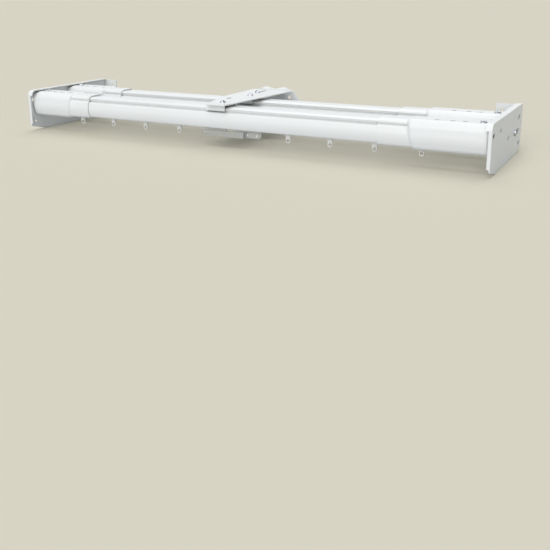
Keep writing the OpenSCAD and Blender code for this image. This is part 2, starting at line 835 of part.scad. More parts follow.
// Flared plate on the wall, with a ledge that carries the support arm
module centre_wall_base() {
    color(white_paint)
        difference() {
            union() {
                along_y(-plate_t, 0) polygon(foot_outline);
                span_box([-ledge_w / 2, -base_leg, ledge_top - plate_t], [ledge_w / 2, 0, ledge_top]);
            }
            for (side = [-1, 1])
                rod_along_y(side * centre_hole_spacing / 2, 0, -plate_t - cut, cut, wall_hole_r);
            translate([-arm_adjust_side, adjust_y, 0]) cylinder(r = screw_r + pin_gap, h = 2 * ledge_top);
        }
}

module centre_adjust_screw() {
    head_z = arm_low + plate_t + seat_gap;
    nut_z = ledge_top - plate_t;
    color(zinc) translate([-arm_adjust_side, adjust_y, 0]) {
        translate([0, 0, head_z]) screw(head_z - nut_z + nut_h);
        translate([0, 0, nut_z]) nut();
    }
}

module support_arm() {
    color(white_paint)
        translate([0, 0, arm_low])
            linear_extrude(plate_t)
                difference() {
                    polygon(rounded(arm_corners));
                    translate([-arm_slot_side, rod_y(0) + arm_slot_back])
                        rotate(90) rounded_slot(side_slot_len, side_slot_w);
                    for (k = [0:1]) translate([0, rod_y(k)]) circle(r = screw_r + pin_gap);
                    translate([-arm_adjust_side, adjust_y + projection_travel / 2])
                        rotate(90) rounded_slot(adjust_slot_len, side_slot_w);
                }
}

// Spring clip that hooks under the rod's lip and reaches down behind the rod
module support_clip(k) {
    half_w = clip_w / 2;
    front_u = hook_u - plate_t;
    rear_u = rod_d / 2 + seat_gap;
    top_v = clip_high - rod_z;
    foot_x = half_w - clip_foot_w;
    color(white_paint) at_rod(k)
        difference() {
            translate([-clip_shift, 0, 0]) {
                span_box([-half_w, front_u, top_v - plate_t], [half_w, rear_u + plate_t, top_v]);
                span_box([-half_w, front_u, hook_v], [half_w, hook_u, top_v]);
                span_box([-half_w, front_u, hook_v], [half_w, lip_u + toe_reach, hook_v + toe_t]);
                span_box([-half_w, rear_u, top_v - clip_leg], [half_w, rear_u + plate_t, top_v]);
                for (side = [-1, 1])
                    translate([side * foot_x, 0, rod_top + seat_gap])
                        span_box(
                            [-clip_foot_w / 2, crest_u + clip_foot_inset, 0],
                            [clip_foot_w / 2, rod_d / 2 - clip_foot_inset, top_v - rod_top - seat_gap]
                        );
            }
            cylinder(r = screw_r + pin_gap, h = rod_h);
        }
}

module support_screws() {
    color(zinc)
        for (k = [0:1])
            translate([0, rod_y(k), arm_low + plate_t]) screw(arm_low + plate_t - clip_low);
}

// Head that slides inside the rod
module head(length) {
    span_box([-length / 2, -head_w / 2, head_low], [length / 2, head_w / 2, head_low + head_h]);
}

// Tongue with a round hook eye, hanging from a neck
module tongue() {
    span_box([-tongue_w / 2, -tongue_t / 2, eye_v], [tongue_w / 2, tongue_t / 2, neck_low + lap]);
    rod_along_y(0, eye_v, -tongue_t / 2, tongue_t / 2, tongue_w / 2);
}

module hook_eye() {
    rod_along_y(0, eye_v, -tongue_t, tongue_t, eye_r);
}

module runner(k, s, i) {
    color(white_plastic) translate([runner_x(s, i), 0, 0]) at_rod(k)
        difference() {
            union() {
                head(runner_len);
                span_box([-tongue_w / 2, -neck_w / 2, neck_low], [tongue_w / 2, neck_w / 2, head_low + lap]);
                tongue();
            }
            hook_eye();
        }
}

// Master carrier that stands on the right of the middle; the left one also reaches the upper run of cord
module master(k, s) {
    runs = s < 0 ? [-wheel_r, wheel_r] : [-wheel_r];
    clamp_high = runs[len(runs) - 1] + clamp_rise;
    bar_x = master_len / 2 - bar_inset;
    eye_x = -bar_x + tongue_w / 2;
    color(white_plastic) on_side(s) translate([master_x, 0, 0]) at_rod(k)
        difference() {
            union() {
                head(master_len);
                span_box([-bar_x, -neck_w / 2, neck_low], [bar_x, neck_w / 2, head_low + lap]);
                span_box([-bar_x, -tongue_t / 2, eye_v], [bar_x, tongue_t / 2, neck_low + lap]);
                span_box([-clamp_len / 2, -clamp_w / 2, head_low], [clamp_len / 2, clamp_w / 2, clamp_high]);
                translate([eye_x, 0, 0]) tongue();
                if (s > 0) rivets();
            }
            translate([eye_x, 0, 0]) hook_eye();
            for (v = runs)
                translate([-master_len, 0, v]) rotate([0, 90, 0]) cylinder(r = cord_hole_r, h = 2 * master_len);
        }
}

// Rivets on the front of the right master that hold the overlap arm
module rivets() {
    for (side = [0, 1])
        rod_along_y(side * rivet_pitch, overlap_mid, -overlap_back - overlap_t - rivet_head, 0, rivet_r);
}

// Strip that carries the edge of the right curtain past the left one
module overlap_arm(k) {
    set_u = -overlap_set;
    front_u = -overlap_back - overlap_t;
    knee_x = -knee_back;
    knee_end = knee_x + overlap_t;
    tip_x = -master_len / 2 - overlap_len;
    end_x = rivet_pitch + overlap_h / 2;
    color(zinc) translate([master_x, 0, 0]) at_rod(k)
        difference() {
            union() {
                span_box([knee_x, front_u, overlap_low], [end_x, -overlap_back, overlap_high]);
                span_box([knee_x, set_u - overlap_t, overlap_low], [knee_end, -overlap_back, overlap_high]);
                span_box([tip_x, set_u - overlap_t, overlap_low], [knee_end, set_u, overlap_high]);
            }
            for (side = [0, 1])
                rod_along_y(side * rivet_pitch, overlap_mid, -rod_d, 0, rivet_r + pin_gap);
            rod_along_y(tip_x + overlap_h / 2, overlap_mid, -rod_d, 0, eye_r);
        }
}

centre_wall_base();
centre_adjust_screw();
support_arm();
support_screws();
for (k = [0:1])
    support_clip(k);
translate([track_x, 0, 0]) {
    for (s = [-1, 1]) {
        wall_base(s);
        adjust_screw(s);
        side_plate(s);
        rod_screws(s);
        pulley_pins(s);
    }
    cord_outlets();
    for (k = [0:1]) {
        outer_rod(k);
        inner_rod(k);
        cover(k, -1);
        cover(k, 1);
        left_block(k);
        right_block(k);
        draw_cord(k);
        return_pulley(k);
        upper_pulley(k);
        lower_pulley(k);
        master(k, -1);
        master(k, 1);
        overlap_arm(k);
        for (s = [-1, 1])
            for (i = [1:runners])
                runner(k, s, i);
    }
}
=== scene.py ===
import json
import math

import bmesh
import bpy
from mathutils import Matrix, Vector


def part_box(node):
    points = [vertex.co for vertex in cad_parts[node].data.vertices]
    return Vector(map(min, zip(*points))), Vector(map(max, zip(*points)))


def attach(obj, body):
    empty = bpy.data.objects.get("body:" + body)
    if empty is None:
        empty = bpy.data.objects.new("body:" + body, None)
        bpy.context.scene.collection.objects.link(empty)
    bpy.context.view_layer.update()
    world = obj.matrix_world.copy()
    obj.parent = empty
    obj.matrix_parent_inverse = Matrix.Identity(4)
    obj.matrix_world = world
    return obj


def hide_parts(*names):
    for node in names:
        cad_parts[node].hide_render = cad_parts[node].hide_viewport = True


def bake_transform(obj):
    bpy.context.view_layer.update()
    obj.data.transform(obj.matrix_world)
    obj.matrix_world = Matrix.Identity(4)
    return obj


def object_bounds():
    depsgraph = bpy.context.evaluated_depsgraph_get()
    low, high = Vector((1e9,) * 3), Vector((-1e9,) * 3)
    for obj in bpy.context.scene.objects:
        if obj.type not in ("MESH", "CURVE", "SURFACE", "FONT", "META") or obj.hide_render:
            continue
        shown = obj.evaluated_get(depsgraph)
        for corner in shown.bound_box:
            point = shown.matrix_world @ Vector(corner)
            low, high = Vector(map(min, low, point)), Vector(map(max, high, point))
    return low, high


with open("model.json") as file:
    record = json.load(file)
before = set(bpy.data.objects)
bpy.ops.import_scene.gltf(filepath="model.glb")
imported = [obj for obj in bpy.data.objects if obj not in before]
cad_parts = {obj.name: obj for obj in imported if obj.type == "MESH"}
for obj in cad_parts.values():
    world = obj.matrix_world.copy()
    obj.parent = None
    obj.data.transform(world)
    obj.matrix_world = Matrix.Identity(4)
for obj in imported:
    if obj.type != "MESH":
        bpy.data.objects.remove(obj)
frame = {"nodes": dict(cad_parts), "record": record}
cadLow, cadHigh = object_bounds()  # the CAD box, before anything is dressed
mm = 0.001
scene = bpy.context.scene
nodes = frame["nodes"]
bodyOf = {n: body for body, group in frame["record"]["behaviour"]["bodies"].items() for n in group}

# Camera

cameraSet = {
    "lens": 48.11,  # mm on a 36 mm sensor
    "shiftY": -0.15,  # the track stands near the top of the picture
    "yaw": -28.66,  # degrees from the Y axis, to the left
    "pitch": 15.44,  # degrees downwards
    "roll": -0.67,  # degrees
    "place": (0.5413, -0.9951, 0.1588),  # metres
}


def makeCamera(s):
    yaw, pitch, roll = (math.radians(s[k]) for k in ("yaw", "pitch", "roll"))
    level = math.cos(pitch)
    ahead = Vector((math.sin(yaw) * level, math.cos(yaw) * level, -math.sin(pitch)))
    right = Vector((math.cos(yaw), -math.sin(yaw), 0))
    up = right.cross(ahead)
    side = right * math.cos(roll) + up * math.sin(roll)
    top = up * math.cos(roll) - right * math.sin(roll)
    data = bpy.data.cameras.new("camera")
    data.lens = s["lens"]
    data.shift_y = s["shiftY"]
    camera = bpy.data.objects.new("camera", data)
    stand = Matrix((side, top, -ahead)).transposed().to_4x4()
    stand.translation = s["place"]
    camera.matrix_world = stand
    scene.collection.objects.link(camera)
    scene.camera = camera


makeCamera(cameraSet)
print("camera placed")

# Materials


def colour(hexText):  # sRGB hex to linear
    parts = [int(hexText[i:i + 2], 16) / 255 for i in (1, 3, 5)]
    return tuple(c / 12.92 if c <= 0.04045 else ((c + 0.055) / 1.055) ** 2.4 for c in parts) + (1.0,)


def addNode(tree, kind, settings=None, links=None):
    node = tree.nodes.new(kind)
    for key, value in (settings or {}).items():
        if isinstance(key, int) or key in node.inputs:
            node.inputs[key].default_value = value
        else:
            setattr(node, key, value)
    for key, source in (links or {}).items():
        tree.links.new(source, node.inputs[key])
    return node


def newMaterial(name):
    material = bpy.data.materials.new(name)
    material.use_nodes = True
    tree = material.node_tree
    tree.nodes.clear()
    return material, tree


def perMetre(sizeMm):  # texture scale for a pattern of that size
    return 1 / (sizeMm * mm)


# Baked enamel on sheet steel: a smooth, half-gloss white skin with faint orange peel, dust and
# painted shade in the corners, and a little grey where the paint is thin along the edges. Rolled
# pieces show faint lines.
enamelSet = {
    "white": "#F1F3F3",
    "cloud": "#E9EAE6",  # slow drift in the white
    "dustShade": "#8C8B86",  # dust settled in corners, and painted shade there
    "thin": "#C9CCCD",  # along the edges
    "cloudMm": 90,
    "peelMm": 4,  # real peel is near 1 mm, drawn coarser so that it shows
    "peelDepthMm": 0.012,
    "rollMm": (160, 1.6, 1.6),  # rolling lines run along X
    "rollDepthMm": 0.003,
    "dustShadeMm": 5,
    "dustShadeMost": 0.75,
    "edgeMm": 0.9,
    "chipMm": 7,  # size of the thin patches
    "thinMost": 0.6,
    "roughLow": 0.27,
    "roughHigh": 0.41,
    "coat": 0.25,
    "coatRough": 0.18,
}


def bakedEnamel(name, s, rolled):
    material, tree = newMaterial(name)
    place = addNode(tree, "ShaderNodeTexCoord").outputs["Object"]
    cloud = addNode(
        tree, "ShaderNodeTexNoise",
        {"Scale": perMetre(s["cloudMm"]), "Detail": 3.0},
        {"Vector": place},
    )
    white = addNode(
        tree, "ShaderNodeMix",
        {"data_type": "RGBA", 6: colour(s["white"]), 7: colour(s["cloud"])},
        {0: cloud.outputs["Fac"]},
    )
    # painted shade: where corners, seams and grooves are occluded, the colour darkens as their shade
    # would, along with the dust
    shade = addNode(tree, "ShaderNodeAmbientOcclusion", {"samples": 6, "Distance": s["dustShadeMm"] * mm})
    dustShadeAmount = addNode(
        tree, "ShaderNodeMapRange",
        {"From Min": 0.75, "From Max": 0.15, "To Min": 0.0, "To Max": s["dustShadeMost"]},
        {"Value": shade.outputs["AO"]},
    )
    dustShaded = addNode(
        tree, "ShaderNodeMix",
        {"data_type": "RGBA", 7: colour(s["dustShade"])},
        {0: dustShadeAmount.outputs["Result"], 6: white.outputs[2]},
    )
    rounded = addNode(tree, "ShaderNodeBevel", {"samples": 4, "Radius": s["edgeMm"] * mm})
    normal = addNode(tree, "ShaderNodeNewGeometry").outputs["Normal"]
    meeting = addNode(
        tree, "ShaderNodeVectorMath",
        {"operation": "DOT_PRODUCT"},
        {0: rounded.outputs[0], 1: normal},
    )
    chips = addNode(
        tree, "ShaderNodeTexNoise",
        {"Scale": perMetre(s["chipMm"]), "Detail": 4.0},
        {"Vector": place},
    )
    edge = addNode(
        tree, "ShaderNodeMapRange",
        {"From Min": 0.985, "From Max": 0.8, "To Min": 0.0, "To Max": 1.0},
        {"Value": meeting.outputs["Value"]},
    )
    chipped = addNode(
        tree, "ShaderNodeMapRange",
        {"From Min": 0.45, "From Max": 0.7, "To Min": 0.0, "To Max": s["thinMost"]},
        {"Value": chips.outputs["Fac"]},
    )
    thin = addNode(
        tree, "ShaderNodeMath", {"operation": "MULTIPLY"},
        {0: edge.outputs["Result"], 1: chipped.outputs["Result"]},
    )
    skin = addNode(
        tree, "ShaderNodeMix",
        {"data_type": "RGBA", 7: colour(s["thin"])},
        {0: thin.outputs[0], 6: dustShaded.outputs[2]},
    )
    gloss = addNode(
        tree, "ShaderNodeMapRange",
        {"From Min": 0.3, "From Max": 0.7, "To Min": s["roughLow"], "To Max": s["roughHigh"]},
        {"Value": cloud.outputs["Fac"]},
    )
    peel = addNode(
        tree, "ShaderNodeTexNoise",
        {"Scale": perMetre(s["peelMm"]), "Detail": 2.0},
        {"Vector": place},
    )
    relief = addNode(
        tree, "ShaderNodeBump",
        {"Strength": 1.0, "Distance": s["peelDepthMm"] * mm},
        {"Height": peel.outputs["Fac"]},
    )
    if rolled:
        along = addNode(
            tree, "ShaderNodeMapping",
            {"Scale": tuple(perMetre(size) for size in s["rollMm"])},
            {"Vector": place},
        )
        lines = addNode(
            tree, "ShaderNodeTexNoise",
            {"Scale": 1.0, "Detail": 2.0},
            {"Vector": along.outputs[0]},
        )
        relief = addNode(
            tree, "ShaderNodeBump",
            {"Strength": 1.0, "Distance": s["rollDepthMm"] * mm},
            {"Height": lines.outputs["Fac"], "Normal": relief.outputs[0]},
        )
    shader = addNode(
        tree, "ShaderNodeBsdfPrincipled",
        {"IOR": 1.5, "Coat Weight": s["coat"], "Coat Roughness": s["coatRough"]},
        {
            "Base Color": skin.outputs[2], "Roughness": gloss.outputs["Result"],
            "Normal": relief.outputs[0],
        },
    )
    addNode(tree, "ShaderNodeOutputMaterial", None, {"Surface": shader.outputs[0]})
    return material


# Moulded nylon: warm white, slightly see-into, with the satin grain of the mould, and dust and
# painted shade in the corners.
nylonSet = {
    "white": "#F0EFEA",
    "flow": "#E6E4DC",
    # dust and painted shade in the corners
    "dustShade": "#5E5C57",
    "flowMm": 14,
    "dustShadeMm": 6,
    "dustShadeMost": 0.9,
    "grainMm": 0.9,  # mould grain, drawn coarser than the real one so that it shows
    "grainDepthMm": 0.02,
    "roughLow": 0.4,
    "roughHigh": 0.55,
    "through": 0.12,
    "depthMm": 1.2,
}


def mouldedNylon(name, s):
    material, tree = newMaterial(name)
    place = addNode(tree, "ShaderNodeTexCoord").outputs["Object"]
    flow = addNode(
        tree, "ShaderNodeTexNoise",
        {"Scale": perMetre(s["flowMm"]), "Detail": 2.0},
        {"Vector": place},
    )
    white = addNode(
        tree, "ShaderNodeMix",
        {"data_type": "RGBA", 6: colour(s["white"]), 7: colour(s["flow"])},
        {0: flow.outputs["Fac"]},
    )
    # painted shade: where corners are occluded, the colour darkens as their shade would, along with
    # the dust
    shade = addNode(tree, "ShaderNodeAmbientOcclusion", {"samples": 6, "Distance": s["dustShadeMm"] * mm})
    dustShadeAmount = addNode(
        tree, "ShaderNodeMapRange",
        {"From Min": 0.6, "From Max": 0.15, "To Min": 0.0, "To Max": s["dustShadeMost"]},
        {"Value": shade.outputs["AO"]},
    )
    dustShaded = addNode(
        tree, "ShaderNodeMix",
        {"data_type": "RGBA", 7: colour(s["dustShade"])},
        {0: dustShadeAmount.outputs["Result"], 6: white.outputs[2]},
    )
    gloss = addNode(
        tree, "ShaderNodeMapRange",
        {"From Min": 0.3, "From Max": 0.7, "To Min": s["roughLow"], "To Max": s["roughHigh"]},
        {"Value": flow.outputs["Fac"]},
    )
    grain = addNode(
        tree, "ShaderNodeTexNoise",
        {"Scale": perMetre(s["grainMm"]), "Detail": 2.0},
        {"Vector": place},
    )
    relief = addNode(
        tree, "ShaderNodeBump",
        {"Strength": 1.0, "Distance": s["grainDepthMm"] * mm},
        {"Height": grain.outputs["Fac"]},
    )
    shader = addNode(
        tree, "ShaderNodeBsdfPrincipled",
        {
            "IOR": 1.53, "Subsurface Weight": s["through"], "Subsurface Radius": (1.0, 0.95, 0.85),
            "Subsurface Scale": s["depthMm"] * mm,
        },
        {
            "Base Color": dustShaded.outputs[2], "Roughness": gloss.outputs["Result"],
            "Normal": relief.outputs[0],
        },
    )
    addNode(tree, "ShaderNodeOutputMaterial", None, {"Surface": shader.outputs[0]})
    return material


# Bright zinc plate on steel: a cool grey metal, with cloudy patches from the plating bath and a fine
# grain.
zincSet = {
    "bright": "#D2D5DA",
    "dull": "#A9ADB2",
    "patchMm": 9,
    "grainMm": 2,  # drawn coarser than the real grain so that it shows
    "grainDepthMm": 0.004,
    "roughLow": 0.24,
    "roughHigh": 0.38,
}


def zincPlate(name, s):
    material, tree = newMaterial(name)
    place = addNode(tree, "ShaderNodeTexCoord").outputs["Object"]
    patch = addNode(
        tree, "ShaderNodeTexNoise",
        {"Scale": perMetre(s["patchMm"]), "Detail": 4.0},
        {"Vector": place},
    )
    metal = addNode(
        tree, "ShaderNodeMix",
        {"data_type": "RGBA", 6: colour(s["bright"]), 7: colour(s["dull"])},
        {0: patch.outputs["Fac"]},
    )
    gloss = addNode(
        tree, "ShaderNodeMapRange",
        {"From Min": 0.3, "From Max": 0.7, "To Min": s["roughLow"], "To Max": s["roughHigh"]},
        {"Value": patch.outputs["Fac"]},
    )
    grain = addNode(
        tree, "ShaderNodeTexNoise",
        {"Scale": perMetre(s["grainMm"]), "Detail": 2.0},
        {"Vector": place},
    )
    relief = addNode(
        tree, "ShaderNodeBump",
        {"Strength": 1.0, "Distance": s["grainDepthMm"] * mm},
        {"Height": grain.outputs["Fac"]},
    )
    shader = addNode(
        tree, "ShaderNodeBsdfPrincipled", {"Metallic": 1.0},
        {
            "Base Color": metal.outputs[2], "Roughness": gloss.outputs["Result"],
            "Normal": relief.outputs[0],
        },
    )
    addNode(tree, "ShaderNodeOutputMaterial", None, {"Surface": shader.outputs[0]})
    return material


# Painted shade in the recess of a screw: a near-black satin colour, a little streaky, that darkens
# the recess as the shade in it would.
recessShadeSet = {"dark": "#17181A", "streak": "#34363A", "streakMm": 1.2, "rough": 0.5}


def paintedRecessShade(name, s):
    material, tree = newMaterial(name)
    place = addNode(tree, "ShaderNodeTexCoord").outputs["Object"]
    streak = addNode(
        tree, "ShaderNodeTexNoise",
        {"Scale": perMetre(s["streakMm"]), "Detail": 3.0},
        {"Vector": place},
    )
    metal = addNode(
        tree, "ShaderNodeMix",
        {"data_type": "RGBA", 6: colour(s["dark"]), 7: colour(s["streak"])},
        {0: streak.outputs["Fac"]},
    )
    shader = addNode(
        tree, "ShaderNodeBsdfPrincipled", {"Roughness": s["rough"]}, {"Base Color": metal.outputs[2]},
    )
    addNode(tree, "ShaderNodeOutputMaterial", None, {"Surface": shader.outputs[0]})
    return material


# Braided polyester cord: matt ivory strands, with painted shade in the valleys where they cross.
braidSet = {
    "strand": "#ECE8DD",
    # painted shade in the valleys between the strands
    "valleyShade": "#B9B4A5",
    "rough": 0.8,
    "sheen": 0.3,
    "fuzzMm": 0.4,
    "fuzzDepthMm": 0.05,
}


def braidedPolyester(name, s):
    material, tree = newMaterial(name)
    place = addNode(tree, "ShaderNodeTexCoord").outputs["Object"]
    height = addNode(tree, "ShaderNodeAttribute", {"attribute_name": "strandHeight"})
    # painted shade: the colour darkens towards the valley where the strands sink
    fibreWithShade = addNode(
        tree, "ShaderNodeMix",
        {"data_type": "RGBA", 6: colour(s["valleyShade"]), 7: colour(s["strand"])},
        {0: height.outputs["Fac"]},
    )
    fuzz = addNode(
        tree, "ShaderNodeTexNoise",
        {"Scale": perMetre(s["fuzzMm"]), "Detail": 2.0},
        {"Vector": place},
    )
    relief = addNode(
        tree, "ShaderNodeBump",
        {"Strength": 1.0, "Distance": s["fuzzDepthMm"] * mm},
        {"Height": fuzz.outputs["Fac"]},
    )
    shader = addNode(
        tree, "ShaderNodeBsdfPrincipled",
        {"Roughness": s["rough"], "Sheen Weight": s["sheen"]},
        {"Base Color": fibreWithShade.outputs[2], "Normal": relief.outputs[0]},
    )
    addNode(tree, "ShaderNodeOutputMaterial", None, {"Surface": shader.outputs[0]})
    return material


rolledEnamel = bakedEnamel("baked_enamel_rolled_steel", enamelSet, True)
pressedEnamel = bakedEnamel("baked_enamel_pressed_steel", enamelSet, False)
nylon = mouldedNylon("moulded_nylon", nylonSet)
zinc = zincPlate("bright_zinc_plate", zincSet)
braid = braidedPolyester("braided_polyester", braidSet)
recessShade = paintedRecessShade("recess_painted_shade", recessShadeSet)
print("materials made")

# Helpers for pieces that are built here

middleX = (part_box("left_side_plate")[0].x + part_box("right_side_plate")[1].x) / 2


def newPiece(name, bm, materials, node):  # stands for the CAD node
    bmesh.ops.recalc_face_normals(bm, faces=bm.faces)
    mesh = bpy.data.meshes.new(name)
    bm.to_mesh(mesh)
    bm.free()
    for material in materials:
        mesh.materials.append(material)
    piece = bpy.data.objects.new(name, mesh)
    scene.collection.objects.link(piece)
    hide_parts(node)
    return piece


edgeSet = {"weldMm": 0.001, "segments": 2, "angle": 35, "flatWeight": 100}


def roundEdges(piece, radiusMm):
    piece.data.shade_smooth()
    weld = piece.modifiers.new("weld", "WELD")
    weld.merge_threshold = edgeSet["weldMm"] * mm
    soft = piece.modifiers.new("rounded_edges", "BEVEL")
    soft.width = radiusMm * mm
    soft.segments = edgeSet["segments"]
    soft.limit_method = "ANGLE"
    soft.angle_limit = math.radians(edgeSet["angle"])
    soft.miter_outer = "MITER_ARC"
    level = piece.modifiers.new("flat_faces", "WEIGHTED_NORMAL")
    level.keep_sharp = True
    level.weight = edgeSet["flatWeight"]


def boxOf(node):
    low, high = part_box(node)
    return low, high, (low + high) / 2


# Pieces that keep their CAD shape: rounded edges and a finish

keptSet = {  # found by words in the nodes' names, the pins before the pulleys
    "plated": {"words": ("pulley_pins",), "material": zinc, "radiusMm": 0.2},
    "pressed": {
        "words": ("centre_wall_base", "support_arm"),
        "material": pressedEnamel, "radiusMm": 0.4,
    },
    "rolled": {"words": ("outer_rod", "inner_rod"), "material": rolledEnamel, "radiusMm": 0.25},
    "moulded": {
        "words": ("_block", "pulley", "master", "runner", "cord_outlets"),
        "material": nylon, "radiusMm": 0.45,
    },
}

for node, piece in nodes.items():
    for kind in keptSet.values():
        if any(word in node for word in kind["words"]):
            piece.data.materials.clear()
            piece.data.materials.append(kind["material"])
            roundEdges(piece, kind["radiusMm"])
            break
print("kept nodes dressed")

# Folded sheet steel: the CAD shape with the radius that the press leaves on each fold

foldSet = {
    "side_plate": {"radiusMm": 1.3, "edgeMm": 0.35, "material": pressedEnamel},
    "end_wall_base": {"radiusMm": 1.3, "edgeMm": 0.35, "material": pressedEnamel},
    "support_clip": {"radiusMm": 1.1, "edgeMm": 0.3, "material": pressedEnamel},
    "overlap_arm": {"radiusMm": 0.9, "edgeMm": 0.25, "material": zinc},
}
bendSet = {"steps": 4, "least": 60, "weldMm": 0.002, "flat": 0.5}  # angles in degrees
plateCornerMm = 8  # radius of the side plate's top front corner
clipBendMm, kneeBendMm = 10, 5  # longer edges of the clip and of the overlap arm are bends
endMm = 1  # within this of a piece's end
near = 0.05 * mm  # counts as lying on a face


def outerX(low, high):  # the face away from the middle of the track
    return low.x if low.x + high.x < 2 * middleX else high.x


def onSidePlateFold(edge, low, high):  # the outer edge along the top and down the front
    faceX, cornerZ = outerX(low, high), high.z - plateCornerMm * mm
    return all(
        abs(v.co.x - faceX) < near and (v.co.z > cornerZ - near or v.co.y < low.y + near)
        for v in edge.verts
    )


def onWallBaseFold(edge, low, high):  # where the leg turns into the flange
    faceX = outerX(low, high)
    return all(abs(v.co.x - faceX) < near and abs(v.co.y - high.y) < near for v in edge.verts)


def onClipFold(edge, low, high):  # the long bends over the rod
    a, b = (v.co for v in edge.verts)
    lengthwise = abs(a.x - b.x) > clipBendMm * mm
    atTop = a.z > high.z - endMm * mm
    return lengthwise and (abs(a.y - low.y) < near or (abs(a.y - high.y) < near and atTop))


def onOverlapFold(edge, low, high):  # the two bends of the knee
    a, b = (v.co for v in edge.verts)
    upright = abs(a.z - b.z) > kneeBendMm * mm
    return upright and low.x + endMm * mm < a.x < high.x - endMm * mm


def foldedPiece(node, s, onFold):
    bm = bmesh.new()
    bm.from_mesh(nodes[node].data)
    bmesh.ops.remove_doubles(bm, verts=bm.verts, dist=bendSet["weldMm"] * mm)
    flat, sharp = math.radians(bendSet["flat"]), math.radians(bendSet["least"])
    bmesh.ops.dissolve_limit(bm, angle_limit=flat, verts=bm.verts, edges=bm.edges)
    low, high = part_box(node)
    folds = [
        e for e in bm.edges
        if e.is_manifold and e.is_convex and e.calc_face_angle() > sharp and onFold(e, low, high)
    ]
    bmesh.ops.bevel(
        bm, geom=folds, offset=s["radiusMm"] * mm, segments=bendSet["steps"], profile=0.5,
        affect="EDGES", clamp_overlap=True,
    )
    piece = newPiece(node + "_folded", bm, [s["material"]], node)
    roundEdges(piece, s["edgeMm"])
    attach(piece, bodyOf[node])
    return len(folds)


for side in ("left", "right"):
    foldCount = foldedPiece(side + "_side_plate", foldSet["side_plate"], onSidePlateFold)
    foldCount += foldedPiece(side + "_wall_base", foldSet["end_wall_base"], onWallBaseFold)
    print(side, "bracket folded along", foldCount, "edges")
for rod in ("front", "back"):
    foldCount = foldedPiece(rod + "_support_clip", foldSet["support_clip"], onClipFold)
    foldCount += foldedPiece(rod + "_overlap_arm", foldSet["overlap_arm"], onOverlapFold)
    print(rod, "clip and overlap arm folded along", foldCount, "edges")

# End covers: drawn shells whose grooved neck swells softly into the smooth box

rodSet = {  # corners of the rolled rod, front to rear and up from its middle, with their radii in mm
    "grooved": (
        (15, 15, 3), (-5, 15, 8), (-10.4, 13, 0.4), (-8.1, 8.6, 0.6),
        (-12.8, 7.4, 3), (-15, -4, 25), (-11.5, -15, 4), (15, -15, 3),
    ),
    "smooth": ((15, 15, 3), (-13.5, 15, 7), (-15, -4, 25), (-11.5, -15, 4), (15, -15, 3)),
}
coverSet = {
    "neckMm": {"left": 39, "right": 44},
    "swellMm": 5,  # length of the step from neck to box
    "slantMm": 3.5,  # the step stands further in at the top than at the floor, by twice this
    "wallMm": 1.4,
    "neckOutMm": 1.8,  # neck and box outside the rod's outline
    "boxOutMm": 3.5,
    "cornerSteps": 8,
    "joined": 0.004,  # radians, closer points of a ring become one
    "ringMm": 12,  # between the rings of the loft
    "ringSpareMm": 2,
    "stepRings": 16,
    "edgeTurns": (0, 22, 45, 68, 90),  # rings round the end edge, in degrees
    "slotMm": 9,  # slot in the floor
    "holeMm": 6.4,
    "holesFromEndMm": (69, 50.5, 36),  # from the outer face of the bracket
    "holeForwardMm": 3,
    "screwHoleMm": 4.4,
    "slotFromEndMm": 53.8,  # the floor is closed under the pulley block
    "outletMm": 6.1,
    "pulleyMm": {"upper": 5, "lower": 3.5},  # the cords leave on the far sides of these pulleys
    "cutUpMm": 25,  # reach of the cutters from the middle of the rod
    "cutDownMm": 30,
    "cutPastMm": 5,  # and past the open end of the neck
    "edgeMm": 0.3,
    "endEdgeMm": {"left": 0.6, "right": 2.8},  # radius of the outer edge at the bracket
    "endWallMm": 0.7,  # the inside turns in with it and leaves this thickness
}


def outlineOf(corners, outMm, steps):
    points = []
    for i, (_, _, r) in enumerate(corners):
        a, b, c = (Vector(corners[j % len(corners)][:2]) for j in (i - 1, i, i + 1))
        into, out = (b - a).normalized(), (c - b).normalized()
        turn = math.atan2(into.x * out.y - into.y * out.x, into.dot(out))
        begin = b - into * r * math.tan(abs(turn) / 2)
        hub = begin + Vector((-into.y, into.x)) * math.copysign(r, turn)
        for k in range(steps + 1):
            points.append(hub + Matrix.Rotation(turn * k / steps, 2) @ (begin - hub))
    moved = []
    for i, p in enumerate(points):
        into, out = (p - points[i - 1]).normalized(), (points[(i + 1) % len(points)] - p).normalized()
        n1, n2 = Vector((-into.y, into.x)), Vector((-out.y, out.x))
        moved.append((p - (n1 + n2) * outMm / (1 + n1.dot(n2))) * mm)
    return moved


def reachAt(points, angle):  # distance from the middle to the outline, that way
    way = Vector((math.cos(angle), math.sin(angle)))
    best = 0.0
    for i, p in enumerate(points):
        q = points[(i + 1) % len(points)]
        d = q - p
        across = way.x * d.y - way.y * d.x
        if abs(across) < 1e-15:  # runs the same way, so it is never met
            continue
        t = (p.x * d.y - p.y * d.x) / across
        u = (p.x * way.y - p.y * way.x) / across
        if t > 0 and -1e-6 <= u <= 1 + 1e-6:
            best = max(best, t)
    return best


def smoothStep(t):
    t = min(max(t, 0.0), 1.0)
    return t * t * (3 - 2 * t)


def coverTables(s):
    outlines = {}
    shapes = {"neck": ("grooved", s["neckOutMm"]), "box": ("smooth", s["boxOutMm"])}
    for part, (shape, outMm) in shapes.items():
        outlines[part] = outlineOf(rodSet[shape], outMm, s["cornerSteps"])
        outlines[part + "Inside"] = outlineOf(rodSet[shape], outMm - s["wallMm"], s["cornerSteps"])
    angles = sorted(math.atan2(p.y, p.x) for part in ("neck", "box") for p in outlines[part])
    apart = [a for i, a in enumerate(angles) if i == 0 or a - angles[i - 1] > s["joined"]]
    return apart, {part: [reachAt(points, a) for a in apart] for part, points in outlines.items()}


